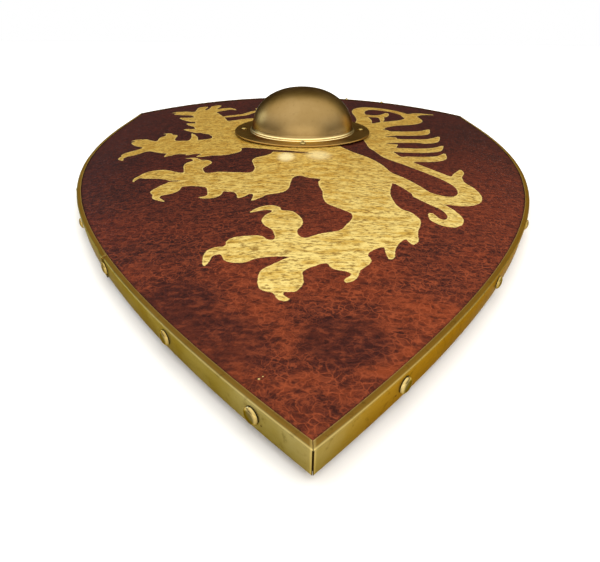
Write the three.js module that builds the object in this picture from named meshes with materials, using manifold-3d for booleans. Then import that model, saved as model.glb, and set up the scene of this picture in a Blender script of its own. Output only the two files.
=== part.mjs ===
// A heater shield lying on its back: a bent wooden board faced with leather, bound all round
// with a folded brass strip, with a domed brass boss riveted near the top.
// The shield is drawn in its own frame, then turned to the angle at which it lies.
// In its own frame the point of the shield is at x = 0, y = 0, the top edge is towards +Y,
// and the leather's face lies at z = 0 along the middle and falls away to both sides.
import * as THREE from 'three';
import { mergeVertices } from 'three/addons/utils/BufferGeometryUtils.js';
import Module from 'manifold-3d';

const wasm = await Module();
wasm.setup();

// Outline, in millimetres
const width = 470; // across the two straight sides
const cornerHeight = 637; // from the point to the top corners
const straightSide = 81; // the sides run parallel over this length below each corner
const topArch = 5.4; // rise of the top edge between its corners
const bendRadius = 1206; // of the board's bend across its width, at the leather's face

// Layers
const boardThickness = 8.5;
const leatherThickness = 1.2;
const edgingSheet = 0.7; // brass strip folded over the edge of board and leather
const lipWidth = 3.2; // how far the strip reaches over the face and the back
const fitGap = 0.3; // between pieces that touch
const seamGap = 0.4; // between the ends of two strips

// Boss
const bossHeight = 427; // from the point to the middle of the boss
const flangeRadius = 71.3;
const domeRadius = 53;
const domeRise = 42.2; // above the flange
const domeFullness = 2.2; // 2 is an ellipse, more gives fuller shoulders
const beadRadius = 54.6; // small step around the foot of the dome
const beadRise = 2.2;
const bossSheet = 1.4;

// Rivets of the boss and nails of the edging
const rivetCount = 4;
const rivetCircle = 61.9; // radius of the circle that the rivets stand on
const rivetHead = { radius: 3, rise: 1.7 };
const rivetShank = { radius: 1.2, length: 9 };
const nailHead = { radius: 3.6, rise: 1.9 };
const nailShank = { radius: 1, length: 10 };

// Nails stand at these distances along the edge from the point, and then evenly to the corner
const nailRows = [
  { side: 'left', sign: -1, first: [28.5, 89, 172.5], more: 6 },
  { side: 'right', sign: 1, first: [50, 155], more: 5 },
];
const nailEndRoom = 25; // from the last nail to the top corner
const leftSeam = 178; // distance along the left edge from the point to the joint of two strips

// Fineness
const sideSegments = 16;
const topSegments = 6;
const bendFacets = 15; // odd, so that the middle of the back is one flat facet
const bossSides = 36;
const domeSteps = 7;
const nailSides = 10;
const headSteps = 2;
const holeSides = 8;

// Worked out from the sizes above
const half = width / 2;
const sideStart = cornerHeight - straightSide;
const sideRadius = (sideStart ** 2 + half ** 2) / width;
const sideCentre = half - sideRadius;
const sideAngle = Math.asin(sideStart / sideRadius);
const arcLength = sideRadius * sideAngle;
const edgeLength = arcLength + straightSide;
const topRadius = (half ** 2 + topArch ** 2) / (2 * topArch);
const topCentre = cornerHeight + topArch - topRadius;
const boardTop = -leatherThickness - fitGap;
const boardBottom = boardTop - boardThickness;
const lipTop = fitGap + edgingSheet;
const edgingBottom = boardBottom; // the back lip lies flush, in a rebate round the board
const rebateDepth = edgingSheet + fitGap;
const wallMiddle = (lipTop + edgingBottom) / 2;
const boardInset = edgingSheet + fitGap;
const cutReach = 40; // how far cutting solids run past what they cut

const woodBrown = new THREE.MeshStandardMaterial({ color: 0x4a3020, roughness: 0.75 });
const oxblood = new THREE.MeshStandardMaterial({ color: 0x4c1d14, roughness: 0.5 });
const brass = new THREE.MeshStandardMaterial({ color: 0x9c8438, roughness: 0.35, metalness: 1 });
const bossBrass = new THREE.MeshStandardMaterial({ color: 0xa58a55, roughness: 0.4, metalness: 1 });

function toSolid(geometry) {
  const bare = geometry.clone();
  bare.deleteAttribute('normal');
  bare.deleteAttribute('uv');
  const merged = mergeVertices(bare);
  const index = merged.index.array;
  const corners = [];
  for (let i = 0; i < index.length; i += 3) {
    const [a, b, c] = [index[i], index[i + 1], index[i + 2]];
    if (a !== b && b !== c && c !== a) corners.push(a, b, c);
  }
  return new wasm.Manifold(new wasm.Mesh({
    numProp: 3,
    vertProperties: new Float32Array(merged.attributes.position.array),
    triVerts: new Uint32Array(corners),
  }));
}

function toGeometry(solid) {
  const mesh = solid.getMesh();
  const geometry = new THREE.BufferGeometry();
  geometry.setAttribute('position', new THREE.BufferAttribute(mesh.vertProperties, 3));
  geometry.setIndex(new THREE.BufferAttribute(mesh.triVerts, 1));
  return geometry;
}

// Height of the leather's face at a distance from the middle line
function faceHeight(x) {
  return Math.sqrt(bendRadius ** 2 - x ** 2) - bendRadius;
}

function arcPoints(x, y, radius, from, to, segments) {
  const clockwise = to < from;
  return new THREE.EllipseCurve(x, y, radius, radius, from, to, clockwise).getPoints(segments);
}

// Outline of the shield, moved inwards by inset
function outline(inset) {
  const radius = sideRadius - inset;
  const low = Math.acos(-sideCentre / radius);
  const across = Math.acos((half - inset) / (topRadius - inset));
  return new THREE.Shape([
    ...arcPoints(sideCentre, sideStart, radius, -low, 0, sideSegments),
    ...arcPoints(0, topCentre, topRadius - inset, across, Math.PI - across, topSegments),
    ...arcPoints(-sideCentre, sideStart, radius, Math.PI, Math.PI + low, sideSegments).slice(0, -1),
  ]);
}

// A tall solid over the outline, whose walls stand square to the bent board
function outlineSolid(inset) {
  const depth = 2 * cutReach;
  const geometry = new THREE.ExtrudeGeometry(outline(inset), { depth, bevelEnabled: false });
  geometry.translate(0, 0, -cutReach);
  const place = geometry.attributes.position;
  for (let i = 0; i < place.count; i += 1) {
    const x = place.getX(i);
    place.setX(i, (x * (place.getZ(i) + bendRadius)) / (faceHeight(x) + bendRadius));
  }
  return toSolid(geometry);
}

// A bent sheet between two heights above the leather's face, larger than the outline
function bentSheet(top, bottom) {
  const sweep = Math.asin((half + cutReach) / bendRadius);
  const upright = Math.PI / 2;
  const [left, right] = [upright + sweep, upright - sweep];
  const section = new THREE.Shape([
    ...arcPoints(0, -bendRadius, bendRadius + top, left, right, bendFacets),
    ...arcPoints(0, -bendRadius, bendRadius + bottom, right, left, bendFacets),
  ]);
  const depth = cornerHeight + topArch + 2 * cutReach;
  const geometry = new THREE.ExtrudeGeometry(section, { depth, bevelEnabled: false });
  geometry.rotateX(Math.PI / 2);
  geometry.translate(0, depth - cutReach, 0);
  return toSolid(geometry);
}

// A place on one side's edge at a distance from the point, with its outward direction in plan
function edgePlace(distance, sign) {
  const along = Math.min(distance, arcLength);
  const angle = along / sideRadius - sideAngle;
  const x = sideCentre + sideRadius * Math.cos(angle);
  const y = sideStart + sideRadius * Math.sin(angle) + distance - along;
  return {
    point: new THREE.Vector2(sign * x, y),
    outward: new THREE.Vector2(sign * Math.cos(angle), Math.sin(angle)),
    upward: new THREE.Vector2(-sign * Math.sin(angle), Math.cos(angle)),
  };
}

function nailDistances({ first, more }) {
  const start = first.at(-1);
  const pitch = (edgeLength - nailEndRoom - start) / more;
  return [...first, ...Array.from({ length: more }, (_, index) => start + (index + 1) * pitch)];
}

// Frame of a nail: its axis stands square out of the edging's wall
function nailMatrix(distance, sign) {
  const { point, outward } = edgePlace(distance, sign);
  const lean = Math.asin(point.x / bendRadius);
  const across = new THREE.Vector3(Math.cos(lean), 0, -Math.sin(lean));
  const up = new THREE.Vector3(Math.sin(lean), 0, Math.cos(lean));
  const axis = across.multiplyScalar(outward.x).add(new THREE.Vector3(0, outward.y, 0));
  const base = new THREE.Vector3(point.x, point.y, faceHeight(point.x));
  base.addScaledVector(up, wallMiddle).addScaledVector(axis, fitGap);
  const matrix = new THREE.Matrix4().makeBasis(new THREE.Vector3().crossVectors(up, axis), up, axis);
  return matrix.setPosition(base);
}

function rivetMatrix(index) {
  const angle = (index * 2 * Math.PI) / rivetCount;
  const x = rivetCircle * Math.cos(angle);
  const y = bossHeight + rivetCircle * Math.sin(angle);
  return new THREE.Matrix4().makeTranslation(x, y, fitGap + bossSheet + fitGap);
}

// Round head on a straight shank, with the head's underside at z = 0
function headedPin(head, shank) {
  const profile = [
    new THREE.Vector2(0, -shank.length),
    new THREE.Vector2(shank.radius, -shank.length),
    new THREE.Vector2(shank.radius, 0),
  ];
  const dome = new THREE.EllipseCurve(0, 0, head.radius, head.rise, 0, Math.PI / 2);
  for (const point of dome.getPoints(headSteps)) {
    profile.push(new THREE.Vector2(Math.max(point.x, 0), point.y));
  }
  profile.at(-1).x = 0;
  return new THREE.LatheGeometry(profile, nailSides).rotateX(Math.PI / 2);
}

// Clearance hole for a shank, at the frame of its pin
function shankHole(shank, matrix) {
  const radius = shank.radius + fitGap;
  const length = shank.length + fitGap;
  const geometry = new THREE.CylinderGeometry(radius, radius, length, holeSides);
  geometry.rotateX(Math.PI / 2);
  geometry.translate(0, 0, -length / 2);
  return toSolid(geometry.applyMatrix4(matrix));
}

// Cuts every hole out of a solid
function drilled(solid, holes) {
  return holes.reduce((rest, hole) => rest.subtract(hole), solid);
}

// A plan region that one strip of the edging is cut out with
function region(points) {
  const shape = new THREE.Shape(points.map(([x, y]) => new THREE.Vector2(x, y)));
  const geometry = new THREE.ExtrudeGeometry(shape, { depth: 4 * cutReach, bevelEnabled: false });
  geometry.translate(0, 0, -2 * cutReach);
  return toSolid(geometry);
}

// Two plan points on a line across the left edge, moved along the edge by shift
function leftCut(shift) {
  const { point, outward, upward } = edgePlace(leftSeam, -1);
  return [-cutReach, cutReach].map((reach) => [
    point.x + outward.x * reach + upward.x * shift,
    point.y + outward.y * reach + upward.y * shift,
  ]);
}

// The strips of the edging: each one's name and the region it fills
function edgingRegions() {
  const gap = seamGap / 2;
  const far = width;
  const within = sideStart / 2;
  const inner = half - cutReach;
  const outer = half + cutReach;
  const innerY = cornerHeight - cutReach;
  const outerY = cornerHeight + cutReach;
  const below = leftCut(-gap);
  const above = leftCut(gap);
  return {
    edging_left_lower: [[-gap, -cutReach], [-gap, within], ...below, [-far, -cutReach]],
    edging_left_upper: [above[1], above[0], [-inner, innerY], [-outer, outerY],
      [-far, outerY], [-far, above[1][1]]],
    edging_top: [[-inner, innerY + 2 * gap], [inner, innerY + 2 * gap],
      [outer, outerY + 2 * gap], [-outer, outerY + 2 * gap]],
    edging_right: [[gap, -cutReach], [far, -cutReach], [far, outerY],
      [outer, outerY], [inner, innerY], [gap, within]],
  };
}

// The whole edging as one folded channel round the board, before it is cut into strips
function channel(holes) {
  const outside = outlineSolid(0);
  const wall = outside.subtract(outlineSolid(edgingSheet));
  const ring = outside.subtract(outlineSolid(lipWidth));
  const upright = wall.intersect(bentSheet(lipTop, edgingBottom));
  const faceLip = ring.intersect(bentSheet(lipTop, fitGap));
  const backLip = ring.intersect(bentSheet(edgingBottom + edgingSheet, edgingBottom));
  return drilled(upright.add(faceLip).add(backLip), holes);
}

function boardSolid(holes) {
  const rim = outlineSolid(0).subtract(outlineSolid(lipWidth + fitGap));
  const rebate = rim.intersect(bentSheet(boardBottom + rebateDepth, boardBottom - cutReach));
  const plank = outlineSolid(boardInset).intersect(bentSheet(boardTop, boardBottom));
  return drilled(plank.subtract(rebate), holes);
}

function leatherSolid(holes) {
  return drilled(outlineSolid(boardInset).intersect(bentSheet(0, -leatherThickness)), holes);
}

// Half of the dome's section, from its foot to its top
function domePoints(radius, rise, base) {
  return Array.from({ length: domeSteps + 1 }, (_, step) => {
    const angle = (step / domeSteps) * (Math.PI / 2);
    const reach = step === domeSteps ? 0 : Math.cos(angle) ** (2 / domeFullness);
    return new THREE.Vector2(radius * reach, base + rise * Math.sin(angle) ** (2 / domeFullness));
  });
}

// Boss: one thin spun shell, open below, with a flat flange that rests on the ridge
function bossGeometry() {
  const under = fitGap;
  const top = under + bossSheet;
  const profile = domePoints(domeRadius - bossSheet, domeRise - bossSheet, top).reverse();
  profile.push(new THREE.Vector2(domeRadius - bossSheet, under));
  profile.push(new THREE.Vector2(flangeRadius, under));
  profile.push(new THREE.Vector2(flangeRadius, top));
  profile.push(new THREE.Vector2(beadRadius, top));
  profile.push(new THREE.Vector2(beadRadius, top + beadRise));
  for (const point of domePoints(domeRadius, domeRise, top)) {
    if (point.y > top + beadRise) profile.push(point);
  }
  const geometry = new THREE.LatheGeometry(profile, bossSides).rotateX(Math.PI / 2);
  return geometry.translate(0, bossHeight, 0);
}

// The angle at which the shield lies: it rests on its two sides, level with its balance point
function restTilt() {
  const sideX = (y) => (y < sideStart
    ? sideCentre + Math.sqrt(sideRadius ** 2 - (sideStart - y) ** 2) : half);
  const steps = 200;
  let area = 0;
  let moment = 0;
  for (let i = 0; i < steps; i += 1) {
    const y = ((i + 0.5) / steps) * cornerHeight;
    area += sideX(y);
    moment += sideX(y) * y;
  }
  const balance = moment / area;
  const reach = cornerHeight / steps;
  const fall = faceHeight(sideX(balance - reach)) - faceHeight(sideX(balance + reach));
  return Math.atan(fall / (2 * reach));
}

const shield = new THREE.Group();
const piece = (name, geometry, material) => {
  const mesh = new THREE.Mesh(geometry, material.clone());
  mesh.name = name;
  shield.add(mesh);
  return mesh;
};
const placed = (mesh, matrix) => {
  mesh.position.setFromMatrixPosition(matrix);
  mesh.setRotationFromMatrix(matrix);
};

const nails = nailRows.flatMap((row) => nailDistances(row).map((distance, index) => ({
  name: `edging_nail_${row.side}_${index + 1}`,
  matrix: nailMatrix(distance, row.sign),
})));
const rivets = Array.from({ length: rivetCount }, (_, index) => ({
  name: `boss_rivet_${index + 1}`,
  matrix: rivetMatrix(index),
}));
const nailHoles = nails.map(({ matrix }) => shankHole(nailShank, matrix));
const rivetHoles = rivets.map(({ matrix }) => shankHole(rivetShank, matrix));

piece('board', toGeometry(boardSolid([...nailHoles, ...rivetHoles])), woodBrown);
piece('leather_facing', toGeometry(leatherSolid(rivetHoles)), oxblood);
const folded = channel(nailHoles);
for (const [name, points] of Object.entries(edgingRegions())) {
  piece(name, toGeometry(folded.intersect(region(points))), brass);
}
piece('boss', toGeometry(drilled(toSolid(bossGeometry()), rivetHoles)), bossBrass);
for (const { name, matrix } of rivets) {
  placed(piece(name, headedPin(rivetHead, rivetShank), bossBrass), matrix);
}
for (const { name, matrix } of nails) {
  placed(piece(name, headedPin(nailHead, nailShank), brass), matrix);
}

// Lie the shield down and put the middle of its footprint at the origin
shield.rotation.x = restTilt();
shield.updateMatrixWorld(true);
const box = new THREE.Box3().setFromObject(shield, true);
const middle = box.getCenter(new THREE.Vector3());
shield.position.set(-middle.x, -middle.y, -box.min.z);

const part = new THREE.Group();
part.add(shield);
part.updateMatrixWorld(true);

export default part;
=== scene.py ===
# A heater shield lying on its back. It is drawn flat in millimetres, with its point at x = 0, y = 0
# and its top edge towards +Y, then bent across its width, laid down and scaled to metres.
import math

import bmesh
import bpy
import numpy as np
from mathutils import Matrix, Vector


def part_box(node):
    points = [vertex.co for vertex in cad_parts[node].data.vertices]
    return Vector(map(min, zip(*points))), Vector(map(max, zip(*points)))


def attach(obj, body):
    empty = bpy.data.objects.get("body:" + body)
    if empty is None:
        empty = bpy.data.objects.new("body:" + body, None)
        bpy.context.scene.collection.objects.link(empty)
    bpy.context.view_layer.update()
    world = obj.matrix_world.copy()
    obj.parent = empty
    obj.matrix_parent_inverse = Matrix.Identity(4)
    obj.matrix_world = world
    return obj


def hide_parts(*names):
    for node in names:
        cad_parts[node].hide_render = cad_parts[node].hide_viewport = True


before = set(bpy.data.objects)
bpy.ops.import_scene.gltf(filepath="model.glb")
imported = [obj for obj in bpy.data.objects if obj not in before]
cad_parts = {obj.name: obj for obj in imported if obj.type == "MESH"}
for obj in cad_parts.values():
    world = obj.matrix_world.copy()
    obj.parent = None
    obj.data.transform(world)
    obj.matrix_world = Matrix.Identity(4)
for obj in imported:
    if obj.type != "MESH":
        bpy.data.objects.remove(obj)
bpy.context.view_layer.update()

metres = 0.001  # in one millimetre of the drawing

shield = {
    "width": 470.0,             # across the two straight sides
    "cornerHeight": 637.0,      # from the point to the top corners
    "straightSide": 81.0,       # below each top corner
    "topArch": 5.4,             # rise of the top edge between its corners
    "bendRadius": 1206.0,       # of the face across the width
    "leather": 1.2,             # thicknesses: of the facing, of the wood under it,
    "board": 8.5,
    "sheet": 0.7,               # and of the brass strip folded over the edge
    "lip": 3.2,                 # how far the strip reaches over face and back
    "gap": 0.3,                 # between pieces that touch
    "leftSeam": 178.0,          # from the point along the left edge to the joint of two strips
}

half = shield["width"] / 2
bend = shield["bendRadius"]
sideStart = shield["cornerHeight"] - shield["straightSide"]
sideRadius = (sideStart ** 2 + half ** 2) / shield["width"]
sideCentre = half - sideRadius
sideLength = sideRadius * math.asin(sideStart / sideRadius)
topRadius = (half ** 2 + shield["topArch"] ** 2) / (2 * shield["topArch"])
topCentre = shield["cornerHeight"] + shield["topArch"] - topRadius
lipTop = shield["gap"] + shield["sheet"]
boardTop = -shield["leather"] - shield["gap"]
boardBottom = boardTop - shield["board"]
edgeInset = shield["sheet"] + shield["gap"]


def faceHeight(x):
    return np.sqrt(bend ** 2 - x ** 2) - bend


def halfWidth(y, inset=0.0):  # of the outline moved inwards
    drop = np.minimum(y - sideStart, 0)
    return sideCentre + np.sqrt((sideRadius - inset) ** 2 - drop ** 2)


def topEdge(x, inset=0.0):
    return topCentre + np.sqrt((topRadius - inset) ** 2 - x ** 2)


def restTilt():  # it lies on its two sides, level with its balance point
    slices = 200
    y = (np.arange(slices) + 0.5) / slices * shield["cornerHeight"]
    balance = (halfWidth(y) * y).sum() / halfWidth(y).sum()
    reach = shield["cornerHeight"] / slices
    fall = faceHeight(halfWidth(balance - reach)) - faceHeight(halfWidth(balance + reach))
    return math.atan(fall / (2 * reach))


tilt = restTilt()
turn = Matrix.Rotation(tilt, 3, "X")

boss = {
    "height": 427.0,            # from the point to its middle
    "flange": 71.3,             # radii of the flange, the bead and the dome
    "bead": 54.6,
    "dome": 53.0,
    "rise": 42.2,
    "ease": 0.12,               # the fine dome's top is kept this much under the solid's
    "fullness": 2.2,            # 2 is an ellipse, more gives fuller shoulders
    "beadRise": 2.2,
    "beadEdge": 0.5,            # cut off the bead's corners, and off the flange's
    "flangeEdge": 0.35,
    "sheet": 1.4,
    "rivetCircle": 61.9,
    "rivets": 4,
    "steps": 128,               # round the axis
    "innerRings": 24,
    "outerRings": 48,
}
flangeTop = shield["gap"] + boss["sheet"]

# The frame's boss says where the shield lies
bossLow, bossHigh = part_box("boss")
bossMiddle = turn @ Vector((0, boss["height"], (shield["gap"] + flangeTop) / 2))
bossTop = turn @ Vector((0, boss["height"], flangeTop + boss["rise"]))
shift = Vector((0, (bossLow.y + bossHigh.y) / 2 / metres - bossMiddle.y, bossHigh.z / metres - bossTop.z))
lie = Matrix.Scale(metres, 4) @ Matrix.Translation(shift) @ turn.to_4x4()


def bent(points):  # flat drawing, with z above the leather's face, to the bent shield
    x, y, z = points.T
    lean = x / bend
    return np.stack([(bend + z) * lean, y, (bend + z) * np.sqrt(1 - lean ** 2) - bend], 1)


def onFace(x, y):  # a place of the flat drawing on the leather's face
    return Vector((x, y, float(faceHeight(x))))


def wallPlace(distance, sign, height):  # a place on a side's wall, its outward and its upward axis
    along = min(distance, sideLength)
    angle = (along - sideLength) / sideRadius
    x = sign * (sideCentre + sideRadius * math.cos(angle))
    y = sideStart + sideRadius * math.sin(angle) + distance - along
    lean = math.asin(x / bend)
    across = Vector((math.cos(lean), 0, -math.sin(lean)))
    up = Vector((math.sin(lean), 0, math.cos(lean)))
    outward = across * sign * math.cos(angle) + Vector((0, math.sin(angle), 0))
    return onFace(x, y) + up * height, outward, up


def warp(bm, change):  # moves every vertex by one function on an array of places
    places = change(np.array([v.co for v in bm.verts]))
    for vertex, place in zip(bm.verts, places):
        vertex.co = place


def finishPiece(name, bm, material, replaced=(), sharpAngle=35.0):
    bmesh.ops.remove_doubles(bm, verts=bm.verts, dist=0.002)
    bmesh.ops.recalc_face_normals(bm, faces=bm.faces)
    bmesh.ops.transform(bm, matrix=lie, verts=bm.verts)
    mesh = bpy.data.meshes.new(name)
    bm.to_mesh(mesh)
    bm.free()
    for face in mesh.polygons:
        face.use_smooth = True
    mesh.set_sharp_from_angle(angle=math.radians(sharpAngle))
    mesh.materials.append(material)
    piece = bpy.data.objects.new(name, mesh)
    bpy.context.scene.collection.objects.link(piece)
    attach(piece, "root")
    if replaced:
        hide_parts(*replaced)
    return piece


# The camera stands close before the point, a little above the shield
camera = {
    "place": (-5.2, -97.07, 114.1),     # in the drawing's millimetres
    "yaw": 0.0083608,           # turns in radians, the pitch downwards
    "pitch": 0.5180834,
    "roll": 0.0099784,
    "lens": 28.73,
}


def makeCamera():
    yaw, pitch, roll = camera["yaw"], camera["pitch"], camera["roll"]
    ahead = Vector((math.sin(yaw) * math.cos(pitch), math.cos(yaw) * math.cos(pitch), -math.sin(pitch)))
    level = Vector((math.cos(yaw), -math.sin(yaw), 0))
    right = level * math.cos(roll) + level.cross(ahead) * math.sin(roll)
    up = right.cross(ahead)
    facing = turn @ Matrix((right, up, -ahead)).transposed()
    data = bpy.data.cameras.new("camera")
    data.lens = camera["lens"]
    data.sensor_width = 36
    data.clip_start = 0.01
    eye = bpy.data.objects.new("camera", data)
    eye.matrix_world = Matrix.Translation(lie @ Vector(camera["place"])) @ facing.to_4x4()
    bpy.context.scene.collection.objects.link(eye)
    bpy.context.scene.camera = eye


makeCamera()
print("camera made")


# Shader maths: an expression on values adds its Math nodes
class Value:
    def __init__(self, shader, socket):
        self.shader = shader
        self.socket = socket

    def math(self, operation, first, second):
        return self.shader.add("ShaderNodeMath", {"operation": operation}, {0: first, 1: second})

    def __add__(self, other):
        return self.math("ADD", self, other)

    def __radd__(self, other):
        return self.math("ADD", other, self)

    def __sub__(self, other):
        return self.math("SUBTRACT", self, other)

    def __rsub__(self, other):
        return self.math("SUBTRACT", other, self)

    def __mul__(self, other):
        return self.math("MULTIPLY", self, other)

    def __rmul__(self, other):
        return self.math("MULTIPLY", other, self)

    def __pow__(self, other):
        return self.math("POWER", self, other)

    def __abs__(self):
        return self.math("ABSOLUTE", self, 0)

    def step(self, low, high):  # 0 below low, 1 above high, smooth between
        settings = {"interpolation_type": "SMOOTHSTEP"}
        return self.shader.add("ShaderNodeMapRange", settings, {0: self, 1: low, 2: high})

    def scaled(self, low, high):  # a value from 0 to 1 spread over low to high
        return self * (high - low) + low


class Shader:
    def __init__(self, owner):
        owner.use_nodes = True
        self.owner = owner
        self.tree = owner.node_tree
        self.tree.nodes.clear()

    def add(self, kind, settings=None, inputs=None, output=0):
        node = self.tree.nodes.new(kind)
        for key, value in (settings or {}).items():
            setattr(node, key, value)
        for key, value in (inputs or {}).items():
            if isinstance(value, Value):
                self.tree.links.new(value.socket, node.inputs[key])
            else:
                node.inputs[key].default_value = value
        return Value(self, node.outputs[output] if node.outputs else None)

    def place(self):
        return self.add("ShaderNodeTexCoord", output="Object")

    def split(self, vector):
        return [self.add("ShaderNodeSeparateXYZ", None, {0: vector}, axis) for axis in range(3)]

    def stretched(self, scale, turned=0.0):
        inputs = {"Vector": self.place(), "Scale": scale, "Rotation": (0, 0, turned)}
        return self.add("ShaderNodeMapping", None, inputs)

    def cloud(self, scale, detail=4.0, rough=0.55, vector=None, output=0):
        inputs = {"Vector": vector or self.place(), "Scale": scale, "Detail": detail, "Roughness": rough}
        return self.add("ShaderNodeTexNoise", None, inputs, output)

    def cells(self, scale, feature, vector):
        return self.add("ShaderNodeTexVoronoi", {"feature": feature}, {"Vector": vector, "Scale": scale})

    def mix(self, share, first, second, blend="MIX"):
        settings = {"data_type": "RGBA", "blend_type": blend}
        return self.add("ShaderNodeMix", settings, {0: share, 6: first, 7: second}, output=2)

    def moved(self, vector, scale, reach):  # a place pushed about by a noise
        push = self.cloud(scale, 3.0, 0.55, vector, output=1)
        centred = self.add("ShaderNodeVectorMath", {"operation": "SUBTRACT"}, {0: push, 1: (0.5, 0.5, 0.5)})
        settings = {"operation": "MULTIPLY_ADD"}
        return self.add("ShaderNodeVectorMath", settings, {0: centred, 1: (reach,) * 3, 2: vector})

    def spot(self, vector, middle, radius):  # 1 round a place of the drawing, in millimetres
        inputs = {0: vector, 1: lie @ middle}
        away = self.add("ShaderNodeVectorMath", {"operation": "DISTANCE"}, inputs, output=1)
        return 1 - away.step(radius * 0.5 * metres, radius * metres)

    def attribute(self, name):
        return self.add("ShaderNodeAttribute", {"attribute_name": name}, output="Fac")

    def bump(self, height, distance, strength=1.0):
        inputs = {"Height": height, "Distance": distance, "Strength": strength}
        return self.add("ShaderNodeBump", None, inputs)

    def finish(self, **inputs):
        named = {key.replace("_", " "): value for key, value in inputs.items()}
        surface = self.add("ShaderNodeBsdfPrincipled", None, named)
        self.add("ShaderNodeOutputMaterial", None, {"Surface": surface})
        return self.owner


def colour(red, green, blue):  # a colour as a screen shows it, 0 to 255
    def linear(part):
        part = part / 255
        return part / 12.92 if part <= 0.04045 else ((part + 0.055) / 1.055) ** 2.4
    return (linear(red), linear(green), linear(blue), 1.0)


leatherLook = {
    "pit": colour(34, 12, 10),
    "dark": colour(50, 19, 15),
    "body": colour(76, 25, 14),
    "warm": colour(132, 58, 23),
    "vein": colour(140, 66, 36),
    "shade": colour(150, 138, 142),     # multiplied in towards the far left
    "gilt": colour(208, 172, 80),
    "giltPale": colour(240, 218, 136),
    "giltDark": colour(132, 100, 40),
    "giltShade": colour(214, 196, 150),   # painted shade, multiplied into the gold towards the far left
    # the pale of the painted reflections in the gold
    "reflectionPale": colour(255, 244, 190),
    "wander": (95.0, 0.011),            # noise that bends the cracks: its scale, its reach in metres
    "cracks": 250.0,                    # scales of the patterns, about repeats to a metre
    "fineCracks": 560.0,
    "pits": 240.0,
    "blotches": 20.0,
    "mottle": 120.0,
    "grain": 300.0,
    "streaks": 170.0,                   # in the gold leaf, as the specks are
    "specks": 600.0,
    "relief": 0.00025,                  # in metres
    "metal": 0.35,                      # how metallic the gold leaf is
    "paintedReflections": [(-15, 325, 12, 24, 0.6), (14, 331, 18, 26, 0.4)],     # painted reflections of the boss in the gold: x, y, reaches and strength
    "patches": [(-40, 55, 30), (14, 56, 24), (-60, 84, 26)],        # darker ones: x, y and radius
    "flecks": [(-18.3, 33.1, 0.6), (-17.0, 34.4, 0.4), (-7.0, 10.3, 0.6), (-4.2, 7.6, 0.5)],  # x, y, radius
}


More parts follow.
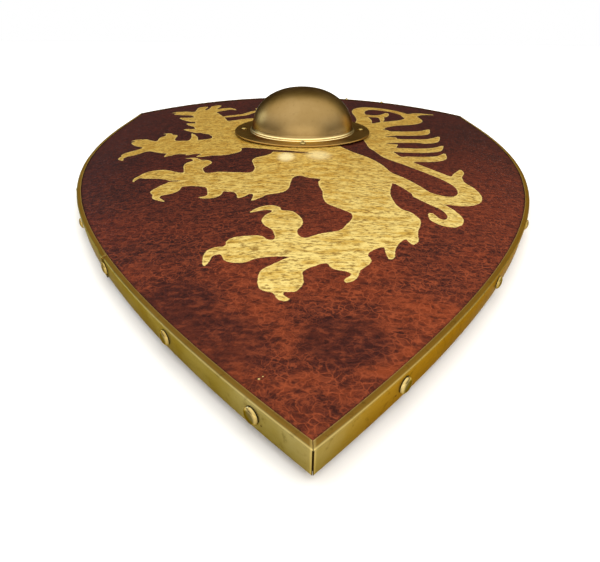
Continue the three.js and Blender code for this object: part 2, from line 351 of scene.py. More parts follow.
def leatherMaterial():
    shader = Shader(bpy.data.materials.new("crackledLeather"))
    look = leatherLook
    place = shader.place()
    across, along = shader.split(place)[:2]
    pushed = shader.moved(place, *look["wander"])
    large = shader.cells(look["cracks"], "DISTANCE_TO_EDGE", pushed)
    small = shader.cells(look["fineCracks"], "DISTANCE_TO_EDGE", pushed)
    crackled = shader.cloud(75.0, 3.0, 0.6).step(0.3, 0.65)
    veins = (1 - large.step(0.0, 0.13)) * crackled.scaled(0.2, 1.0)
    fineVeins = (1 - small.step(0.0, 0.16)) * (1 - crackled * 0.7)
    blotch = shader.cloud(look["blotches"], 4.0, 0.55).step(0.36, 0.62)
    mottle = shader.cloud(look["mottle"], 4.0, 0.6).step(0.35, 0.65)
    # 1 towards the point and the right side, falling to 0 towards the far left
    near = 1 - (along - across * 0.45).step(-0.34, 0.12)
    base = shader.mix(blotch * mottle.scaled(0.6, 1.0), look["dark"], look["body"])
    # warmer blotches towards the point and the right: partly a redder tone of the leather, partly painted
    # light where the lamp falls
    pointward = 1 - along.step(-0.31, -0.16)
    base = shader.mix(blotch * (pointward * 0.6 + near * 0.15), base, look["warm"])
    base = shader.mix(veins * 0.65 + fineVeins * 0.4, base, look["vein"])
    for x, y, radius in look["patches"]:
        base = shader.mix(shader.spot(pushed, onFace(x, y), radius) * 0.7, base, look["dark"])
    pits = (1 - shader.cells(look["pits"], "F1", pushed).step(0.12, 0.4)) * mottle
    base = shader.mix(pits * 0.85, base, look["pit"])
    grain = shader.cloud(look["grain"], 3.0, 0.6, shader.stretched((0.6, 1, 1), 0.2))
    base = shader.mix(grain.step(0.5, 0.66) * 0.3, base, look["vein"])
    base = shader.mix((1 - grain.step(0.36, 0.48)) * 0.5, base, look["pit"])
    base = shader.mix(1 - near, base, look["shade"], "MULTIPLY")
    # painted shade: the leather darker in a narrow band beside the edging's lip
    base = shader.mix((1 - shader.attribute("edgeward").step(2.4, 5.0)) * 0.75, base, look["pit"])
    for x, y, radius in look["flecks"]:
        base = shader.mix(shader.spot(place, onFace(x, y), radius) * 0.4, base, look["giltPale"])
    depth = shader.attribute("gilt")
    streak = shader.cloud(look["streaks"], 5.0, 0.65, shader.stretched((0.45, 1, 1)))
    leaf = shader.mix(streak.step(0.36, 0.6), look["gilt"], look["giltPale"])
    speck = shader.cloud(look["specks"], 4.0, 0.6, shader.stretched((0.45, 1, 1), 0.06))
    leaf = shader.mix(speck.step(0.46, 0.64) * 0.85, leaf, look["giltDark"])
    # painted shade on the gold towards the far left
    leaf = shader.mix(1 - near, leaf, look["giltShade"], "MULTIPLY")
    leaf = shader.mix((1 - depth.step(0.3, 1.2)) * 0.4, leaf, look["giltPale"])
    # painted reflections of the boss: pale places in the gold's colour
    for x, y, wide, deep, strength in look["paintedReflections"]:
        middle = lie @ onFace(x, y)
        sideways = abs((across - middle.x) * (1 / metres / wide)) ** 2
        away = sideways + abs((along - middle.y) * (1 / metres / deep)) ** 2
        leaf = shader.mix((1 - away.step(0.0, 1.0)) ** 3 * strength, leaf, look["reflectionPale"])
    ragged = (shader.cloud(330.0, 3.0, 0.6) - 0.5) * 1.2  # in millimetres, at the gold's edge
    gilt = (depth + ragged).step(-0.3, 0.3)
    gilt = gilt * (1 - shader.cloud(420.0, 4.0, 0.7).step(0.68, 0.74) * 0.6)
    relief = large.step(0.0, 0.3) * 0.5 + small.step(0.0, 0.3) * 0.2 + shader.cloud(700.0, 2.0) * 0.3
    bump = shader.bump(relief * (1 - gilt * 0.65), look["relief"])
    rough = shader.cloud(60.0, 4.0).scaled(0.45, 0.68)
    return shader.finish(
        Base_Color=shader.mix(gilt, base, leaf),
        Metallic=gilt * look["metal"],
        Roughness=rough * (1 - gilt) + gilt * speck.scaled(0.26, 0.5),
        Normal=bump,
        Specular_IOR_Level=0.09,
    )


def brassMaterial(name, look, marksAndLight):  # the last argument adds a brass's own marks and its painted light and shade
    shader = Shader(bpy.data.materials.new(name))
    mottle = shader.cloud(48.0, 5.0, 0.6)
    spots = shader.cloud(260.0, 4.0, 0.65).step(0.56, 0.72)
    base = shader.mix(mottle.step(0.35, 0.7), look["body"], look["pale"])
    base = marksAndLight(shader, base)
    base = shader.mix(spots * look["spots"], base, look["dark"])
    scratches = shader.cloud(500.0, 3.0, 0.6, shader.stretched((1, 0.12, 0.4), 0.4))
    bump = shader.bump(mottle * 0.7 + scratches * 0.3, 0.0003, 0.5)
    rough = mottle.scaled(look["rough"] - 0.06, look["rough"] + 0.1)
    if "rougherLip" in look:
        rough = rough + shader.attribute("inward").step(0.5, 1.2) * look["rougherLip"]
    return shader.finish(
        Base_Color=base, Metallic=1.0, Roughness=rough, Normal=bump, Specular_Tint=look["graze"])


edgingLook = {
    "dark": colour(74, 56, 22),
    "body": colour(134, 121, 70),
    "pale": colour(152, 141, 92),
    "right": colour(158, 122, 46),
    "lip": colour(156, 118, 44),
    # painted highlight on the fold, the lip's inner edge and the strip ends
    "crease": colour(214, 190, 116),
    "seam": colour(40, 30, 14),
    # painted shade, darkening the top strip
    "topShade": colour(66, 44, 28),
    "graze": colour(170, 150, 108),     # what it mirrors at a grazing view
    "spots": 0.4,
    "rough": 0.36,
    "rougherLip": 0.2,
    "rightSpan": (-0.01, 0.03),         # across, where the left's colour turns into the right's
    "topShadeSpan": (0.3, 0.313),        # along, where the painted shade of the top edge begins
    "pricks": [(23.7, -1, -6.0), (44.4, 1, -6.3)],  # distance, side and height of pin holes
    "prickRadius": 0.55,
}


def edgingMarksAndLight(shader, base):
    look = edgingLook
    place = shader.place()
    across, along = shader.split(place)[:2]
    base = shader.mix(across.step(*look["rightSpan"]), base, look["right"])
    inward = shader.attribute("inward")
    base = shader.mix(inward.step(0.5, 1.2) * 0.85, base, look["lip"])
    # painted highlights along the fold, at the lip's inner edge and at the strip ends
    edgeHighlight = (1 - abs(inward - 0.4).step(0.1, 0.5)) * 0.5 + inward.step(2.5, 3.1) * 0.55
    endward = shader.attribute("endward")
    edgeHighlight = edgeHighlight + (1 - endward.step(0.5, 1.6)) * 0.5
    base = shader.mix(edgeHighlight, base, look["crease"])
    base = shader.mix((1 - endward.step(0.15, 0.5)) * (1 - inward.step(0.1, 0.4)), base, look["seam"])
    # painted shade on the top strip
    base = shader.mix(along.step(*look["topShadeSpan"]) * 0.8, base, look["topShade"])
    for distance, sign, height in look["pricks"]:
        middle = wallPlace(distance, sign, height)[0]
        base = shader.mix(shader.spot(place, middle, look["prickRadius"]), base, look["dark"])
    return base


bossLook = {
    "dark": colour(92, 72, 38),
    "body": colour(146, 120, 74),
    "pale": colour(156, 130, 84),
    # paler than the dome: painted light on the flat flange and bead
    "flange": colour(184, 148, 84),
    "front": colour(255, 226, 150),     # painted highlight on the side of the point
    "frontSpan": (-0.064, -0.044),      # along, from the boss's middle
    # painted highlight along the bead
    "bead": colour(252, 232, 168),
    "graze": colour(110, 90, 60),
    "spots": 0.2,
    "rough": 0.31,
}


def bossPaintedLight(shader, base):
    look = bossLook
    middle = lie @ Vector((0, boss["height"], 0))
    across, along = shader.split(shader.place())[:2]
    out = (abs(across - middle.x) ** 2 + abs(along - middle.y) ** 2) ** 0.5
    beadEnd = boss["bead"] * 1.04 * metres
    # painted light: the flange and bead paler than the dome
    base = shader.mix(out.step(boss["dome"] * metres, beadEnd), base, look["flange"])
    # painted highlight on the flange's front, on the side of the point
    front = out.step(boss["bead"] * metres, beadEnd)
    front = front * (1 - out.step((boss["flange"] - 1.6) * metres, (boss["flange"] - 0.6) * metres))
    front = front * (1 - (along - middle.y).step(*look["frontSpan"]))
    base = shader.mix(front * 0.9, base, look["front"])
    # painted highlight round the bead
    bead = 1 - abs(out * (1 / metres) - boss["bead"]).step(0.3, 1.0)
    return shader.mix(bead, base, look["bead"])


nailLook = {
    "dark": colour(70, 56, 28),
    "body": colour(164, 140, 78),
    "pale": colour(196, 174, 112),
    "middle": colour(96, 84, 46),       # of each head: painted dark reflection within its bright rim
    "graze": colour(200, 180, 130),
    "spots": 0.3,
    "rough": 0.16,
}


def nailPaintedReflection(shader, base):
    # painted dark reflection in the middle of each head
    return shader.mix(1 - shader.attribute("rimward").step(0.62, 0.9), base, nailLook["middle"])


woodLook = {
    "body": colour(62, 38, 24),
    "pale": colour(104, 68, 42),
    "pore": colour(36, 22, 15),
    "relief": 0.0005,                   # in metres
}


def woodMaterial():
    shader = Shader(bpy.data.materials.new("stainedWood"))
    look = woodLook
    grain = shader.cloud(14.0, 6.0, 0.6, shader.stretched((9, 0.6, 3)))
    pores = shader.cloud(120.0, 4.0, 0.6, shader.stretched((6, 0.25, 3)))
    base = shader.mix(grain.step(0.35, 0.7), look["body"], look["pale"])
    base = shader.mix(pores.step(0.55, 0.7) * 0.6, base, look["pore"])
    bump = shader.bump(grain * 0.4 - pores.step(0.55, 0.7) * 0.4, look["relief"])
    return shader.finish(Base_Color=base, Roughness=grain.scaled(0.6, 0.8), Normal=bump)


leather = leatherMaterial()
edgingBrass = brassMaterial("agedBrass", edgingLook, edgingMarksAndLight)
bossBrass = brassMaterial("antiqueBrass", bossLook, bossPaintedLight)
nailBrass = brassMaterial("polishedBrass", nailLook, nailPaintedReflection)
wood = woodMaterial()
print("materials made")


# The lion rampant that is gilded on the leather: rounded outlines, and strokes whose places
# each have a half width, in millimetres of the drawing. Soft is how far shapes melt together.
outlineSoft = 2.0
lionOutlines = {
    "trunk": [
        (-25, 395), (30, 388), (34, 369), (45, 347), (58, 329), (66, 312), (70, 295), (71, 280), (68, 262),
        (60, 242), (50, 225), (35, 220), (20, 225), (17, 235), (13, 250), (13, 261),
        (4, 265), (-3, 270), (-8, 266), (-10, 255), (-11, 242), (-15, 232), (-25, 227), (-36, 228),
        (-48, 233), (-60, 237), (-72, 246), (-76, 258), (-76, 272), (-70, 284), (-58, 282), (-43, 280),
        (-40, 290), (-42, 303), (-44, 315), (-41, 324), (-31, 332), (-27, 345), (-29, 360), (-32, 375)],
    "leg": [
        (27, 271), (13, 260), (11, 248), (13, 234), (13, 219), (16, 208), (25, 198), (30, 191), (29, 182),
        (24, 171), (20, 164), (13, 161), (7, 158), (0, 153), (-4, 156), (-5, 163), (-2, 172), (-2, 181),
        (-6, 191), (-10, 195), (-15, 196), (-17, 202), (-23, 205), (-30, 202), (-36, 193), (-32, 194),
        (-26, 197), (-21, 195), (-25, 188), (-27, 180), (-25, 172), (-20, 165), (-18, 157), (-18, 151),
        (-22, 151), (-26, 156), (-35, 156), (-42, 154), (-45, 149), (-45, 143), (-50, 142), (-54, 138),
        (-55, 130), (-53, 120), (-51, 124), (-50, 131), (-46, 133), (-43, 126), (-38, 123), (-32, 123),
        (-27, 127), (-20, 129), (-9, 129), (-12, 126), (-18, 120), (-23, 114), (-24, 106), (-23, 97),
        (-20, 94), (-16, 92), (-14, 87), (-11, 85), (-8, 86), (-11, 90), (-11, 93), (-8, 93), (-5, 94),
        (-2, 101), (-2, 108), (-2, 113), (3, 118), (10, 122), (13, 116), (20, 113), (22, 110), (18, 105),
        (19, 102), (24, 106), (27, 115), (31, 120), (34, 126), (33, 133), (36, 138), (43, 143), (43, 134),
        (44, 128), (47, 131), (50, 143), (57, 155), (59, 151), (61, 148), (65, 154), (67, 165), (72, 180),
        (73, 188), (70, 198), (65, 203), (62, 214), (62, 234), (67, 258), (66, 272)],
    "chest": [
        (-20, 350), (-40, 355), (-58, 361), (-57, 350), (-62, 341), (-74, 336), (-86, 340), (-96, 352),
        (-105, 362), (-118, 358), (-130, 362), (-140, 372), (-150, 390), (-146, 404), (-132, 408),
        (-115, 402), (-95, 402), (-97, 425), (-108, 434), (-116, 452), (-122, 475), (-88, 490), (-58, 500),
        (-20, 500), (20, 480), (40, 420), (10, 370)],
    "head": [
        (-52, 490), (-49, 510), (-44, 524), (-52, 531), (-56, 539), (-44, 543), (-32, 549), (-44, 553),
        (-57, 555), (-60, 564), (-52, 573), (-39, 579), (-31, 590), (-18, 605), (-11, 590), (0, 603),
        (5, 586), (20, 593), (19, 574), (36, 577), (28, 559), (46, 556), (34, 540), (52, 530), (38, 518),
        (56, 505), (40, 492), (20, 478)],
}
lionStrokes = {
    "limbs": {"soft": 5.0, "runs": [
        [(-74, 266, 17), (-86, 268, 14), (-93, 270, 12)],
        [(-88, 282, 8), (-92, 298, 8), (-91, 312, 12)],
        [(-98, 275, 8), (-110, 284, 9), (-120, 290, 11), (-124, 291, 11)],
        [(-90, 262, 8), (-100, 256, 9), (-103, 246, 11)],
        [(-85, 374, 30), (-112, 377, 25), (-135, 386, 18), (-148, 396, 13)],
        [(-152, 400, 10), (-166, 414, 10), (-175, 427, 9)],
        [(-140, 405, 8), (-144, 420, 9), (-145, 431, 10)],
        [(-148, 392, 9), (-160, 382, 9), (-168, 375, 10)],
        [(-84, 430, 15), (-92, 455, 21), (-104, 480, 19), (-111, 505, 18), (-118, 530, 16), (-126, 552, 15),
         (-131, 566, 13)],
        [(-136, 558, 9), (-150, 568, 9), (-163, 580, 9)],
        [(-134, 568, 6), (-137, 584, 6), (-137, 602, 7)],
        [(-124, 568, 6), (-120, 584, 6), (-118, 602, 7)],
        [(-120, 562, 8), (-108, 571, 9), (-100, 573, 8)]]},
    "claws": {"soft": 1.2, "runs": [
        [(-93, 322, 3.5), (-98, 331, 2), (-107, 334, 0.6)],
        [(-130, 291, 4), (-136, 284, 2.2), (-136, 275, 0.6)],
        [(-106, 238, 4), (-106, 230, 2.4), (-98, 221, 0.6)],
        [(-176, 432, 4), (-182, 438, 2.4), (-187, 436, 0.6)],
        [(-146, 440, 4), (-149, 449, 2.4), (-155, 452, 0.6)],
        [(-172, 368, 4), (-174, 360, 2.6), (-169, 350, 0.6)],
        [(-112, 400, 5), (-114, 418, 3), (-120, 437, 0.8)],
        [(-166, 586, 4), (-172, 592, 2.4), (-178, 590, 0.6)],
        [(-98, 575, 4), (-90, 568, 2.4), (-86, 560, 0.6)]]},
    "tufts": {"soft": 1.5, "runs": [
        [(-66, 246, 6), (-64, 230, 5), (-68, 225, 3), (-74, 225, 0.8)],
        [(-45, 236, 6), (-44, 228, 4), (-46, 221, 0.8)],
        [(-30, 232, 6), (-33, 222, 3), (-36, 215, 0.6)],
        [(-112, 446, 8), (-124, 456, 5), (-134, 464, 1)],
        [(-118, 478, 8), (-129, 488, 5), (-138, 498, 1)],
        [(-128, 514, 10), (-142, 528, 7), (-156, 542, 1)],
        [(-118, 362, 8), (-124, 354, 5), (-128, 347, 1)],
        [(-100, 358, 8), (-104, 351, 5), (-107, 346, 1)],
        [(-84, 346, 8), (-90, 340, 5), (-96, 337, 1)],
        [(-96, 519, 4), (-84, 521, 5), (-72, 525, 5), (-66, 534, 4.5), (-60, 543, 4), (-50, 549, 3)]]},
    "tail": {"soft": 3.0, "runs": [
        [(63, 283, 9), (73, 269, 8.5), (81, 253, 8), (87, 238, 8), (98, 229, 8.5), (110, 228, 9),
         (120, 236, 9), (125, 250, 8.5), (125, 265, 8), (118, 282, 7), (108, 297, 7), (95, 315, 7),
         (82, 335, 9), (77, 352, 9), (74, 372, 10)],
        [(99, 532, 4), (99, 515, 3), (96, 498, 1.5), (95, 488, 0.8)],
        [(84, 232, 6), (90, 220, 5), (97, 208, 4.5), (98, 193, 5), (91, 183, 5.5), (84, 188, 4),
         (83, 198, 2)],
        [(76, 365, 12), (80, 400, 18), (80, 440, 18), (72, 470, 14)],
        [(124, 275, 5), (128, 292, 4), (135, 306, 3), (138, 315, 0.8)],
        [(98, 334, 8), (116, 340, 7.5), (130, 351, 5), (138, 368, 1)],
        [(92, 364, 8), (112, 369, 7.5), (132, 381, 5.5), (145, 402, 1)],
        [(92, 401, 8), (115, 407, 9), (138, 421, 6.5), (153, 447, 1)],
        [(88, 434, 9), (112, 442, 9), (136, 457, 7), (150, 482, 1)],
        [(76, 450, 9), (90, 474, 10), (105, 490, 10), (130, 512, 11), (143, 535, 11), (145, 555, 9)],
        [(140, 545, 9), (138, 562, 9), (125, 578, 8), (105, 584, 8), (88, 580, 8), (77, 565, 8),
         (73, 545, 8), (74, 522, 8), (75, 500, 9), (72, 480, 9)],
        [(145, 562, 7), (160, 584, 5), (185, 600, 1)],
        [(76, 528, 7), (90, 528, 6), (102, 535, 5.5), (109, 548, 4), (112, 558, 2)]]},
}
lionCuts = [  # strokes of bare leather inside the gilding
    [(84, 387, 1), (98, 391, 3.5), (122, 401, 3)],
    [(88, 419, 1), (102, 423, 3.5), (128, 434, 3)],
    [(90, 452, 1), (104, 458, 3), (120, 462, 2)],
    [(-30, 569, 1.5), (-26, 571, 2), (-21, 569, 1)],
    [(-105, 268, 1.6), (-99, 267, 1.2), (-93, 266, 0.4)],
    [(-40, 353, 3), (-27, 346, 3.2), (-12, 342, 3.2), (-1, 339, 2), (10, 336, 0.4)],
]


def smoothLine(points, closed, steps):  # a smooth curve through the points
    points = np.array(points, float)
    if closed:
        padded = np.vstack([points[-1:], points, points[:2]])
    else:
        padded = np.vstack([2 * points[0] - points[1], points, 2 * points[-1] - points[-2]])
    t = (np.arange(steps) / steps)[:, None]
    spans = []
    for a, b, c, d in zip(padded, padded[1:], padded[2:], padded[3:]):
        linear, square, cube = c - a, 2 * a - 5 * b + 4 * c - d, 3 * b - a - 3 * c + d
        spans.append(0.5 * (2 * b + linear * t + square * t ** 2 + cube * t ** 3))
    line = np.vstack(spans)
    return np.vstack([line, line[:1] if closed else points[-1:]])


def toSegment(places, start, end):  # distance, and the share of the way along
    run = end[:2] - start[:2]
    share = np.clip((places - start[:2]) @ run / max(run @ run, 1e-9), 0, 1)
    away = places - start[:2] - share[:, None] * run
    return np.hypot(away[:, 0], away[:, 1]), share


class Figure:  # a flat figure, kept as the depth of each place inside its edge
    margin = 30.0
    outlineSteps = 5
    strokeSteps = 6

    def __init__(self, places):
        self.places = places
        self.depth = np.full(len(places), -self.margin)

    def near(self, line):
        low, high = line[:, :2].min(0) - self.margin, line[:, :2].max(0) + self.margin
        return ((self.places > low) & (self.places < high)).all(1)

    def outline(self, points):
        line = smoothLine(points, True, self.outlineSteps)
        near = self.near(line)
        places = self.places[near]
        far = np.full(len(places), self.margin)
        inside = np.zeros(len(places), bool)
        for start, end in zip(line, line[1:]):
            far = np.minimum(far, toSegment(places, start, end)[0])
            crosses = (places[:, 1] < start[1]) != (places[:, 1] < end[1])
            slope = (end[0] - start[0]) / (end[1] - start[1] or 1e-9)
            inside ^= crosses & (places[:, 0] < start[0] + (places[:, 1] - start[1]) * slope)
        return near, np.where(inside, far, -far)

    def stroke(self, points):
        line = smoothLine(points, False, self.strokeSteps)
        near = self.near(line)
        depth = np.full(near.sum(), -self.margin)
        for start, end in zip(line, line[1:]):
            far, share = toSegment(self.places[near], start, end)
            depth = np.maximum(depth, start[2] + (end[2] - start[2]) * share - far)
        return near, depth

    def join(self, shape, soft):
        near, depth = shape
        blend = np.maximum(soft - abs(self.depth[near] - depth), 0) / soft
        self.depth[near] = np.maximum(self.depth[near], depth) + blend ** 2 * soft / 4

    def carve(self, shape):
        near, depth = shape
        self.depth[near] = np.minimum(self.depth[near], -depth)


def lionDepth(places):
    figure = Figure(places)
    for points in lionOutlines.values():
        figure.join(figure.outline(points), outlineSoft)
    for group in lionStrokes.values():
        for points in group["runs"]:
            figure.join(figure.stroke(points), group["soft"])
    for points in lionCuts:
        figure.carve(figure.stroke(points))
    return figure.depth


# Leather facing and board are slabs, led down through levels of a height and an inset each
facing = {
    "columns": 12,
    "rows": 16,
    "cuts": 19,                 # of each column and row, on the upper face alone
    "levels": [(0.0, edgeInset), (-shield["leather"], edgeInset)],
}


def slab(size):
    levels = size["levels"]
    bm = bmesh.new()
    bmesh.ops.create_grid(bm, x_segments=size["columns"], y_segments=size["rows"], size=1)
    lower = bm.faces[:]
    for level in range(1, len(levels)):
        run = bmesh.ops.extrude_face_region(bm, geom=lower)["geom"]
        lowered = [item for item in run if isinstance(item, bmesh.types.BMVert)]
        bmesh.ops.translate(bm, vec=(0, 0, -1), verts=lowered)
        lower = [item for item in run if isinstance(item, bmesh.types.BMFace)]
    upper = [edge for edge in bm.edges if all(v.co.z > -0.5 for v in edge.verts)]
    bmesh.ops.subdivide_edges(bm, edges=upper, cuts=size["cuts"], use_grid_fill=True)

    def toOutline(places):
        heights, insets = np.array(levels)[np.rint(-places[:, 2]).astype(int)].T
        point = sideStart - np.sqrt((sideRadius - insets) ** 2 - sideCentre ** 2)
        corner = topEdge(half - insets, insets)
        share = (places[:, 1] + 1) / 2
        y = point + share * (corner - point)
        x = places[:, 0] * np.maximum(halfWidth(y, insets), 0)
        y = y + (topEdge(x, insets) - corner) * share ** 12  # the arch fades below the top edge
        return bent(np.stack([x, y, heights], 1))

    warp(bm, toOutline)
    return bm


def makeFacing():
    piece = finishPiece("gildedFacing", slab(facing), leather, ["leather_facing"])
    places = np.zeros(3 * len(piece.data.vertices))
    piece.data.vertices.foreach_get("co", places)
    back = np.array(lie.inverted())
    x, y = (places.reshape(-1, 3) @ back[:2, :3].T + back[:2, 3]).T
    down = np.minimum(y - sideStart, 0)
    sideways = sideRadius - np.hypot(abs(x) - sideCentre, down)
    fields = {
        "gilt": lionDepth(np.stack([x, y], 1)),
        "edgeward": np.minimum(sideways, topRadius - np.hypot(x, y - topCentre)),
    }
    for name, values in fields.items():
        field = piece.data.attributes.new(name, "FLOAT", "POINT")
        field.data.foreach_set("value", values.astype(np.float32))


makeFacing()
print("facing made")


rebateInset = shield["lip"] + shield["gap"]
board = {
    "columns": 24,
    "rows": 32,
    "cuts": 0,
    "levels": [
        (boardTop, edgeInset), (boardBottom + edgeInset, edgeInset),
        (boardBottom + edgeInset, rebateInset), (boardBottom, rebateInset)],
}

finishPiece("backBoard", slab(board), wood, ["board"])
print("board made")


# Edging: brass strips folded round the edge, drawn straight and then led along the outline
edging = {
    "foldRadius": 0.55,
    "innerRadius": 0.15,
    "endRadius": 0.22,
    "seamHalf": 0.12,           # half the open joint at the point and at the top corners
    "stationStep": 3.5,
    "lapLength": 5.0,           # how far the upper left strip runs over the lower one
    "lapRise": 0.72,
    "lapRamp": 9.0,
    "dent": 0.16,
    "waves": [(13, 0, 1), (29, 1, 1), (5.3, 2, 0.5)],   # millimetres to a radian, start and strength
}


def channel(start, end):  # x inwards from the edge, y along it, z above the leather
    lip, sheet = shield["lip"], shield["sheet"]
    section = [
        (lip, lipTop), (0, lipTop), (0, boardBottom), (lip, boardBottom),
        (lip, boardBottom + sheet), (sheet, boardBottom + sheet),
        (sheet, lipTop - sheet), (lip, lipTop - sheet)]
    bm = bmesh.new()
    bm.faces.new([bm.verts.new((x, start, z)) for x, z in section])
    run = bmesh.ops.extrude_face_region(bm, geom=bm.faces[:])
    far = [item for item in run["geom"] if isinstance(item, bmesh.types.BMVert)]
    bmesh.ops.translate(bm, vec=(0, end - start, 0), verts=far)

    def longEdges(test):
        found = []
        for edge in bm.edges:
            first, second = edge.verts
            if abs(first.co.y - second.co.y) > 1 and test(first.co.x, first.co.z):
                found.append(edge)
        return found

    def rounded(edges, radius, segments):
        bmesh.ops.bevel(
            bm, geom=edges, offset=radius, affect="EDGES", segments=segments, profile=0.5, material=-1)

    def inFold(x, z):
        middle = (lipTop + boardBottom) / 2
        reach = (lipTop - boardBottom) / 2 - sheet
        return abs(x - sheet) < 0.01 and abs(abs(z - middle) - reach) < 0.01

    rounded(longEdges(lambda x, z: x < 0.01), edging["foldRadius"], 4)
    rounded(longEdges(inFold), edging["innerRadius"], 2)
    rounded(longEdges(lambda x, z: x > lip - 0.01), edging["endRadius"], 2)
    cuts = round((end - start) / edging["stationStep"]) - 1
    bmesh.ops.subdivide_edges(bm, edges=longEdges(lambda x, z: True), cuts=cuts, use_grid_fill=True)
    inward = bm.verts.layers.float.new("inward")
    endward = bm.verts.layers.float.new("endward")
    for vertex in bm.verts:
        vertex[inward] = vertex.co.x
        vertex[endward] = min(vertex.co.y - start, end - vertex.co.y)
    return bm


def dented(inset, along, z):  # the strip isn't quite straight, and its lips are pressed a little
    wave = sum(np.sin(along / reach + start) * strength for reach, start, strength in edging["waves"])
    most = sum(row[2] for row in edging["waves"])
    press = edging["dent"] * (wave + most) / (2 * most)
    return inset + press * 0.5, z - press * np.sign(z - boardBottom / 2) * np.minimum(inset, 2) / 2


def sideRun(sign, lapAt=None):  # leads a strip along one side, and over the other where it laps
    def lead(places):
        inset, along, z = places.T
        inset, z = dented(inset, along * sign, z)
        if lapAt:
            over = 1 - np.clip((along - lapAt) / edging["lapRamp"], 0, 1)
            over = over ** 2 * (3 - 2 * over) * edging["lapRise"]
            inset = inset - over
            z = z + over * np.sign(z - boardBottom / 2)
        low = np.arccos((edging["seamHalf"] - sideCentre) / (sideRadius - inset))
        angle = -low * (1 - np.minimum(along, sideLength) / sideLength)
        rest = np.maximum(along - sideLength, 0) / shield["straightSide"]
        x = sideCentre + (sideRadius - inset) * np.cos(angle)
        y = sideStart + (sideRadius - inset) * np.sin(angle)
        y = y + rest * (shield["cornerHeight"] - inset - sideStart)
        return bent(np.stack([sign * x, y, z], 1))

    return lead


def topRun(places):
    inset, along, z = places.T
    inset, z = dented(inset, along, z)
    across = along / half * (half - inset - 2 * edging["seamHalf"])
    return bent(np.stack([across, topEdge(across, inset), z], 1))


def makeStrip(name, start, end, lead, node):
    bm = channel(start, end)
    warp(bm, lead)
    finishPiece(name, bm, edgingBrass, [node], 50.0)


def makeEdging():
    total = sideLength + shield["straightSide"]
    seam = shield["leftSeam"]
    lap = seam - edging["lapLength"]
    makeStrip("stripLeftLower", 0.0, seam + edging["lapLength"], sideRun(-1), "edging_left_lower")
    makeStrip("stripLeftUpper", lap, total, sideRun(-1, seam), "edging_left_upper")
    makeStrip("stripRight", 0.0, total, sideRun(1), "edging_right")
    makeStrip("stripTop", -half, half, topRun, "edging_top")


makeEdging()
print("edging made")


# The boss and every pin is a profile that begins and ends on the z axis and is turned about it
def spun(profile, steps):
    bm = bmesh.new()
    corners = [bm.verts.new((radius, 0, z)) for radius, z in profile]
    edges = [bm.edges.new(pair) for pair in zip(corners, corners[1:])]
    bmesh.ops.spin(
        bm, geom=corners + edges, cent=(0, 0, 0), axis=(0, 0, 1), dvec=(0, 0, 0),
        angle=2 * math.pi, steps=steps, use_merge=True, use_duplicate=False)
    bmesh.ops.remove_doubles(bm, verts=bm.verts, dist=0.001)
    bmesh.ops.recalc_face_normals(bm, faces=bm.faces)
    return bm


def quarter(radius, rise, base, steps, fullness=2.0):  # half a dome's section, from its foot up
    section = []
    for index in range(steps + 1):
        angle = math.pi / 2 * index / steps
        reach = math.cos(angle) ** (2 / fullness) if index < steps else 0.0
        section.append((radius * reach, base + rise * math.sin(angle) ** (2 / fullness)))
    return section


def makeBoss():
    sheet, dome, bead, flange = boss["sheet"], boss["dome"], boss["bead"], boss["flange"]
    under, top, beadTop = shield["gap"], flangeTop, flangeTop + boss["beadRise"]
    edge, beadEdge = boss["flangeEdge"], boss["beadEdge"]
    inner = quarter(dome - sheet, boss["rise"] - sheet, top, boss["innerRings"], boss["fullness"])
    outer = quarter(dome, boss["rise"] - boss["ease"], top, boss["outerRings"], boss["fullness"])
    profile = inner[::-1] + [
        (dome - sheet, under), (flange - edge, under), (flange, under + edge),
        (flange, top - edge), (flange - edge, top), (bead + beadEdge, top),
        (bead, top + beadEdge), (bead, beadTop - beadEdge), (bead - beadEdge, beadTop)]
    profile += [place for place in outer if place[1] > beadTop + 0.1]
    bm = spun(profile, boss["steps"])
    bmesh.ops.translate(bm, vec=(0, boss["height"], 0), verts=bm.verts)
    finishPiece("domedBoss", bm, bossBrass, ["boss"], 40.0)


makeBoss()
print("boss made")


# Rivets hold the boss, nails the edging, and two small pins stand on the top edge
rivet = {"radius": 3.0, "rise": 1.7, "shank": 1.2, "length": 9.0}
nail = {"radius": 3.6, "rise": 1.75, "shank": 1.0, "length": 10.0}
rimPin = {"radius": 2.0, "rise": 1.6, "shank": 0.6, "length": 2.0, "places": [(66, 639.5), (117, 638.2)]}
nailRows = {  # distances from the point, and how many more follow up to the corner
    "left": {"sign": -1, "first": [28.5, 89, 172.5], "more": 6},
    "right": {"sign": 1, "first": [50, 155], "more": 5},
}
nailEndRoom = 25.0  # from the last nail to the corner
pinSteps = 28
pinRings = 8  # of each domed head


def headedPin(size):
    profile = [(0.0, -size["length"]), (size["shank"], -size["length"]), (size["shank"], 0.0)]
    profile += quarter(size["radius"], size["rise"], 0.0, pinRings)
    bm = spun(profile, pinSteps)
    rimward = bm.verts.layers.float.new("rimward")
    for vertex in bm.verts:
        vertex[rimward] = math.hypot(vertex.co.x, vertex.co.y) / size["radius"]
    return bm


def nailPlace(distance, sign):
    base, outward, up = wallPlace(distance, sign, (lipTop + boardBottom) / 2)
    base = base + outward * shield["gap"]
    return Matrix.Translation(base) @ Matrix((up.cross(outward), up, outward)).transposed().to_4x4()


def makeRivets():
    for index in range(boss["rivets"]):
        angle = index * 2 * math.pi / boss["rivets"]
        x = boss["rivetCircle"] * math.cos(angle)
        y = boss["height"] + boss["rivetCircle"] * math.sin(angle)
        bm = headedPin(rivet)
        bmesh.ops.translate(bm, vec=(x, y, flangeTop + shield["gap"]), verts=bm.verts)
        finishPiece(f"bossRivet{index + 1}", bm, nailBrass, [f"boss_rivet_{index + 1}"])


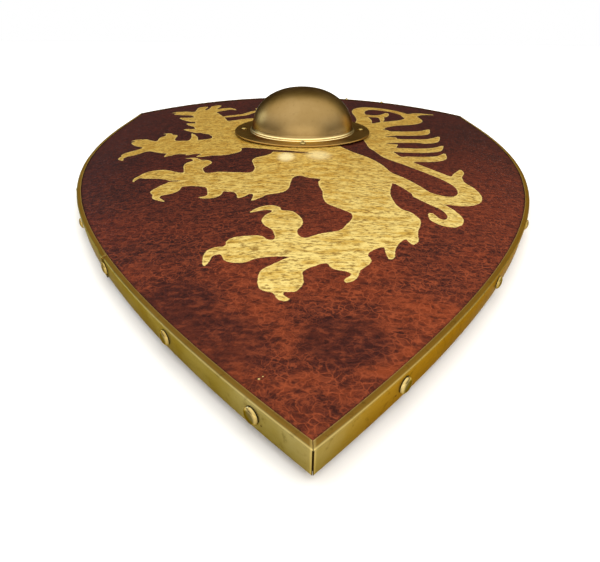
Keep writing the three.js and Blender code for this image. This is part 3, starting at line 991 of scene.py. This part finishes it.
def makeNails():
    total = sideLength + shield["straightSide"]
    for side, row in nailRows.items():
        start = row["first"][-1]
        pitch = (total - nailEndRoom - start) / row["more"]
        distances = row["first"] + [start + (step + 1) * pitch for step in range(row["more"])]
        for index, distance in enumerate(distances):
            bm = headedPin(nail)
            bmesh.ops.transform(bm, matrix=nailPlace(distance, row["sign"]), verts=bm.verts)
            node = f"edging_nail_{side}_{index + 1}"
            finishPiece(f"{side}Nail{index + 1}", bm, nailBrass, [node])


def makeRimPins():
    for index, (x, y) in enumerate(rimPin["places"]):
        bm = headedPin(rimPin)
        place = bent(np.array([[x, y, lipTop]]))[0]
        bmesh.ops.translate(bm, vec=place, verts=bm.verts)
        finishPiece(f"rimPin{index + 1}", bm, nailBrass)


makeRivets()
makeNails()
makeRimPins()
print("rivets, nails and pins made")


# Floor and light, in metres
studio = {
    "floorSize": 6,
    "paper": (0.86, 0.86, 0.86, 1),
    "horizon": 0.25,            # strength of the sky that lights the shield, and of its top
    "ceiling": 1.62,
    "front": 1.7,               # a low brighter band on the camera's side
    "behind": 0.86,             # how much darker it is behind the shield
    "soft": (1.0, 0.97, 0.92, 1),
    "seen": (1, 1, 1, 1),       # what the camera sees of it
}
lights = {  # the mirrored ones show in the brass, the others only light it
    "keyLight": {
        "place": (0.5, -0.9, 1.3), "aim": (0, 0, 0), "size": 1.2, "power": 6.6,
        "tint": (1.0, 0.96, 0.9), "mirrored": False},
    "windowLight": {
        "place": (-1.05, 0.57, 0.4), "aim": (0, 0.1, 0.04), "size": 0.45, "power": 1.9,
        "tint": (0.5, 0.66, 1.0), "mirrored": True},
    "warmLight": {
        "place": (1.05, 0.65, 0.22), "aim": (0, 0.1, 0.04), "size": 0.4, "power": 0.6,
        "tint": (1.0, 0.72, 0.45), "mirrored": True},
    "floorLight": {
        "place": (0, 4, 4), "aim": (0, 4, 0), "size": 6, "power": 200,
        "tint": (1.0, 1.0, 1.0), "mirrored": False},
}


def makeStage():
    bm = bmesh.new()
    bmesh.ops.create_grid(bm, x_segments=1, y_segments=1, size=studio["floorSize"])
    mesh = bpy.data.meshes.new("floor")
    bm.to_mesh(mesh)
    bm.free()
    paper = Shader(bpy.data.materials.new("palePaper"))
    mesh.materials.append(paper.finish(Base_Color=studio["paper"], Roughness=0.9))
    floor = bpy.data.objects.new("floor", mesh)
    bpy.context.scene.collection.objects.link(floor)
    bpy.context.scene.view_settings.view_transform = "Standard"


def makeSurroundings():  # white to look at, but a soft gradient in what it lights
    world = bpy.data.worlds.new("studio")
    shader = Shader(world)
    across, away, up = shader.split(shader.add("ShaderNodeTexCoord", output="Generated"))
    light = up.step(0.0, 0.8).scaled(studio["horizon"], studio["ceiling"])
    light = light * (1 - away.step(0.35, 0.7) * studio["behind"])
    light = light + (1 - away.step(-1.0, -0.5)) * (1 - up.step(0.2, 0.6)) * studio["front"]
    soft = shader.add("ShaderNodeBackground", None, {"Color": studio["soft"], "Strength": light})
    plain = shader.add("ShaderNodeBackground", None, {"Color": studio["seen"], "Strength": 1.0})
    seen = shader.add("ShaderNodeLightPath", output="Is Camera Ray")
    either = shader.add("ShaderNodeMixShader", None, {0: seen, 1: soft, 2: plain})
    shader.add("ShaderNodeOutputWorld", None, {"Surface": either})
    bpy.context.scene.world = world


def makeLight(name, light):
    data = bpy.data.lights.new(name, "AREA")
    data.shape = "DISK"
    data.size = light["size"]
    data.energy = light["power"]
    data.color = light["tint"]
    lamp = bpy.data.objects.new(name, data)
    lamp.visible_glossy = light["mirrored"]
    lamp.location = light["place"]
    towards = Vector(light["aim"]) - Vector(light["place"])
    lamp.rotation_euler = towards.to_track_quat("-Z", "Y").to_euler()
    bpy.context.scene.collection.objects.link(lamp)


makeStage()
makeSurroundings()
for name, light in lights.items():
    makeLight(name, light)
print("floor and lights made")
